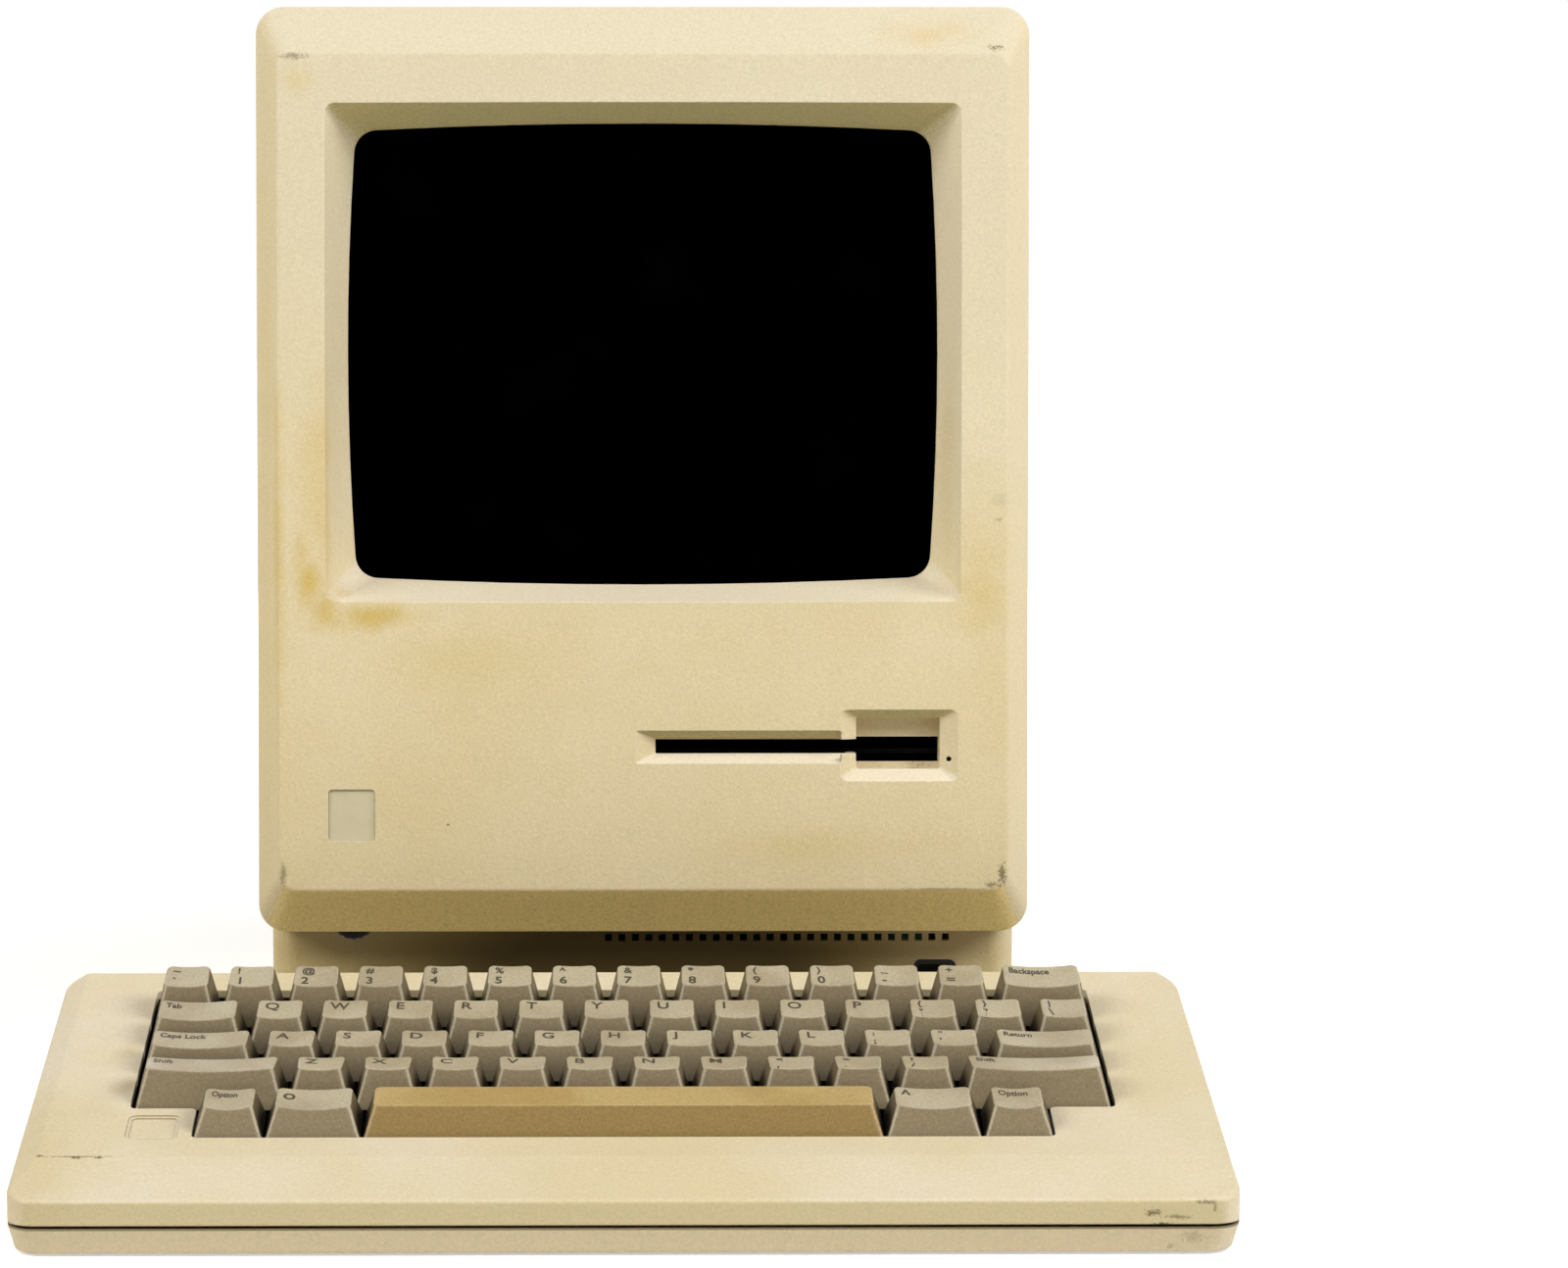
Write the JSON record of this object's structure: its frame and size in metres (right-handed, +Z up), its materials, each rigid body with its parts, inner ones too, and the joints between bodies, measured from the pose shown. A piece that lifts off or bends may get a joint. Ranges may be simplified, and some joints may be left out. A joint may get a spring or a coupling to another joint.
{
  "type": "vintage home computer",
  "caption": "Compact all-in-one home computer with built-in screen and disk drive, and its separate keyboard with pressable keys.",
  "frame": {"origin": "on the desk, under the middle of the whole outline of computer and keyboard", "axes": "+Z up, the fronts face -Y, +X to the user's right"},
  "size_m": [0.335, 0.4876, 0.3451],
  "materials": {
    "case_plastic": "fine moulded texture, aged cream",
    "key_plastic": "satin warm grey",
    "space_plastic": "satin, yellowed",
    "dark_plastic": "satin black",
    "component_plastic": "moulded black",
    "badge_plastic": "satin pale grey",
    "screen_glass": "dark polished picture tube",
    "sheet_steel": "zinc plated",
    "sheet_aluminium": "mill finish",
    "screw_steel": "dark zinc",
    "board_laminate": "green circuit board",
    "foot_rubber": "moulded",
    "battery_metal": "plain sleeve"
  },
  "bodies": {
    "computer": {"front_bezel": "case_plastic", "rear_case": "case_plastic", "rubber_feet": "foot_rubber", "case_screws": "screw_steel", "badge_plate": "badge_plastic", "brightness_control": "component_plastic", "keyboard_socket": "dark_plastic", "crt_tube": "screen_glass", "crt_band": "sheet_steel", "crt_screws": "screw_steel", "deflection_yoke": "component_plastic", "crt_neck_board": "board_laminate", "chassis_frame": "sheet_aluminium", "analog_board": "board_laminate", "flyback_transformer": "component_plastic", "logic_board": "board_laminate", "rear_ports": "sheet_steel", "speaker": "component_plastic", "drive_chassis": "sheet_steel", "power_inlet": "dark_plastic", "power_switch": "dark_plastic", "battery": "battery_metal"},
    "keyboard": {"keyboard_top": "case_plastic", "keyboard_bottom": "case_plastic", "keyboard_feet": "foot_rubber", "keyboard_jack": "dark_plastic", "switch_plate": "sheet_steel", "keyboard_board": "board_laminate", "keyboard_screws": "screw_steel", "key_switches": "component_plastic", "stabiliser_guides": "component_plastic"},
    "brightness_knob": {"brightness_knob": "dark_plastic"},
    "power_rocker": {"power_rocker": "dark_plastic"},
    "battery_door": {"battery_door": "case_plastic"},
    "disk_holder": {"disk_holder": "sheet_steel"},
    "drive_spindle": {"drive_spindle": "sheet_aluminium"},
    "head_carriage": {"head_carriage": "component_plastic"},
    "key_option_left": {"key_option_left": "key_plastic"},
    "key_command": {"key_command": "key_plastic"},
    "key_space": {"key_space": "space_plastic"},
    "key_enter": {"key_enter": "key_plastic"},
    "key_option_right": {"key_option_right": "key_plastic"},
    "key_shift_left": {"key_shift_left": "key_plastic"},
    "key_shift_right": {"key_shift_right": "key_plastic"},
    "key_caps_lock": {"key_caps_lock": "key_plastic"},
    "key_return": {"key_return": "key_plastic"},
    "key_tab": {"key_tab": "key_plastic"},
    "key_backspace": {"key_backspace": "key_plastic"},
    "keys_bottom_left": {"keys_bottom_left": "key_plastic"},
    "keys_bottom_right": {"keys_bottom_right": "key_plastic"},
    "keys_home_left": {"keys_home_left": "key_plastic"},
    "keys_home_middle": {"keys_home_middle": "key_plastic"},
    "keys_home_right": {"keys_home_right": "key_plastic"},
    "keys_upper_left": {"keys_upper_left": "key_plastic"},
    "keys_upper_middle": {"keys_upper_middle": "key_plastic"},
    "keys_upper_right": {"keys_upper_right": "key_plastic"},
    "keys_number_left": {"keys_number_left": "key_plastic"},
    "keys_number_middle": {"keys_number_middle": "key_plastic"},
    "keys_number_right": {"keys_number_right": "key_plastic"}
  },
  "joints": [
    {"name": "keyboard_slide", "type": "slide", "parent": "computer", "child": "keyboard", "axis": [0, -1, 0], "range_m": [-0.05, 0.15]},
    {"name": "brightness_turn", "type": "hinge", "parent": "computer", "child": "brightness_knob", "pos_m": [-0.0861, -0.0072, 0.0544], "axis": [0, 1, 0], "range_deg": [-135, 135]},
    {"name": "power_rock", "type": "hinge", "parent": "computer", "child": "power_rocker", "pos_m": [-0.072, 0.2382, 0.11], "axis": [1, 0, 0], "range_deg": [0, 16]},
    {"name": "battery_door_swing", "type": "hinge", "parent": "computer", "child": "battery_door", "pos_m": [-0.072, 0.2425, 0.1622], "axis": [1, 0, 0], "range_deg": [0, 100]},
    {"name": "disk_drop", "type": "slide", "parent": "computer", "child": "disk_holder", "axis": [0, 0, -1], "range_m": [0, 0.0045]},
    {"name": "spindle_turn", "type": "hinge", "parent": "computer", "child": "drive_spindle", "pos_m": [0.056, 0.0388, 0.092], "axis": [0, 0, 1], "continuous": true},
    {"name": "head_seek", "type": "slide", "parent": "computer", "child": "head_carriage", "axis": [0, -1, 0], "range_m": [0, 0.022]},
    {"name": "key_option_left_press", "type": "slide", "parent": "keyboard", "child": "key_option_left", "axis": [0, 0.2241, -0.9746], "range_m": [0, 0.0036], "stiffness_N_per_m": 120, "springref_m": -0.002},
    {"name": "key_command_press", "type": "slide", "parent": "keyboard", "child": "key_command", "axis": [0, 0.2241, -0.9746], "range_m": [0, 0.0036], "stiffness_N_per_m": 120, "springref_m": -0.002},
    {"name": "key_space_press", "type": "slide", "parent": "keyboard", "child": "key_space", "axis": [0, 0.2241, -0.9746], "range_m": [0, 0.0036], "stiffness_N_per_m": 240, "springref_m": -0.002},
    {"name": "key_enter_press", "type": "slide", "parent": "keyboard", "child": "key_enter", "axis": [0, 0.2241, -0.9746], "range_m": [0, 0.0036], "stiffness_N_per_m": 120, "springref_m": -0.002},
    {"name": "key_option_right_press", "type": "slide", "parent": "keyboard", "child": "key_option_right", "axis": [0, 0.2241, -0.9746], "range_m": [0, 0.0036], "stiffness_N_per_m": 120, "springref_m": -0.002},
    {"name": "key_shift_left_press", "type": "slide", "parent": "keyboard", "child": "key_shift_left", "axis": [0, 0.2241, -0.9746], "range_m": [0, 0.0036], "stiffness_N_per_m": 120, "springref_m": -0.002},
    {"name": "key_shift_right_press", "type": "slide", "parent": "keyboard", "child": "key_shift_right", "axis": [0, 0.2241, -0.9746], "range_m": [0, 0.0036], "stiffness_N_per_m": 120, "springref_m": -0.002},
    {"name": "key_caps_lock_press", "type": "slide", "parent": "keyboard", "child": "key_caps_lock", "axis": [0, 0.2241, -0.9746], "range_m": [0, 0.0036], "stiffness_N_per_m": 120, "springref_m": -0.002},
    {"name": "key_return_press", "type": "slide", "parent": "keyboard", "child": "key_return", "axis": [0, 0.2241, -0.9746], "range_m": [0, 0.0036], "stiffness_N_per_m": 120, "springref_m": -0.002},
    {"name": "key_tab_press", "type": "slide", "parent": "keyboard", "child": "key_tab", "axis": [0, 0.2241, -0.9746], "range_m": [0, 0.0036], "stiffness_N_per_m": 120, "springref_m": -0.002},
    {"name": "key_backspace_press", "type": "slide", "parent": "keyboard", "child": "key_backspace", "axis": [0, 0.2241, -0.9746], "range_m": [0, 0.0036], "stiffness_N_per_m": 120, "springref_m": -0.002},
    {"name": "keys_bottom_left_press", "type": "slide", "parent": "keyboard", "child": "keys_bottom_left", "axis": [0, 0.2241, -0.9746], "range_m": [0, 0.0036], "stiffness_N_per_m": 600, "springref_m": -0.002},
    {"name": "keys_bottom_right_press", "type": "slide", "parent": "keyboard", "child": "keys_bottom_right", "axis": [0, 0.2241, -0.9746], "range_m": [0, 0.0036], "stiffness_N_per_m": 600, "springref_m": -0.002},
    {"name": "keys_home_left_press", "type": "slide", "parent": "keyboard", "child": "keys_home_left", "axis": [0, 0.2241, -0.9746], "range_m": [0, 0.0036], "stiffness_N_per_m": 480, "springref_m": -0.002},
    {"name": "keys_home_middle_press", "type": "slide", "parent": "keyboard", "child": "keys_home_middle", "axis": [0, 0.2241, -0.9746], "range_m": [0, 0.0036], "stiffness_N_per_m": 480, "springref_m": -0.002},
    {"name": "keys_home_right_press", "type": "slide", "parent": "keyboard", "child": "keys_home_right", "axis": [0, 0.2241, -0.9746], "range_m": [0, 0.0036], "stiffness_N_per_m": 360, "springref_m": -0.002},
    {"name": "keys_upper_left_press", "type": "slide", "parent": "keyboard", "child": "keys_upper_left", "axis": [0, 0.2241, -0.9746], "range_m": [0, 0.0036], "stiffness_N_per_m": 480, "springref_m": -0.002},
    {"name": "keys_upper_middle_press", "type": "slide", "parent": "keyboard", "child": "keys_upper_middle", "axis": [0, 0.2241, -0.9746], "range_m": [0, 0.0036], "stiffness_N_per_m": 480, "springref_m": -0.002},
    {"name": "keys_upper_right_press", "type": "slide", "parent": "keyboard", "child": "keys_upper_right", "axis": [0, 0.2241, -0.9746], "range_m": [0, 0.0036], "stiffness_N_per_m": 600, "springref_m": -0.002},
    {"name": "keys_number_left_press", "type": "slide", "parent": "keyboard", "child": "keys_number_left", "axis": [0, 0.2241, -0.9746], "range_m": [0, 0.0036], "stiffness_N_per_m": 600, "springref_m": -0.002},
    {"name": "keys_number_middle_press", "type": "slide", "parent": "keyboard", "child": "keys_number_middle", "axis": [0, 0.2241, -0.9746], "range_m": [0, 0.0036], "stiffness_N_per_m": 480, "springref_m": -0.002},
    {"name": "keys_number_right_press", "type": "slide", "parent": "keyboard", "child": "keys_number_right", "axis": [0, 0.2241, -0.9746], "range_m": [0, 0.0036], "stiffness_N_per_m": 480, "springref_m": -0.002}
  ]
}
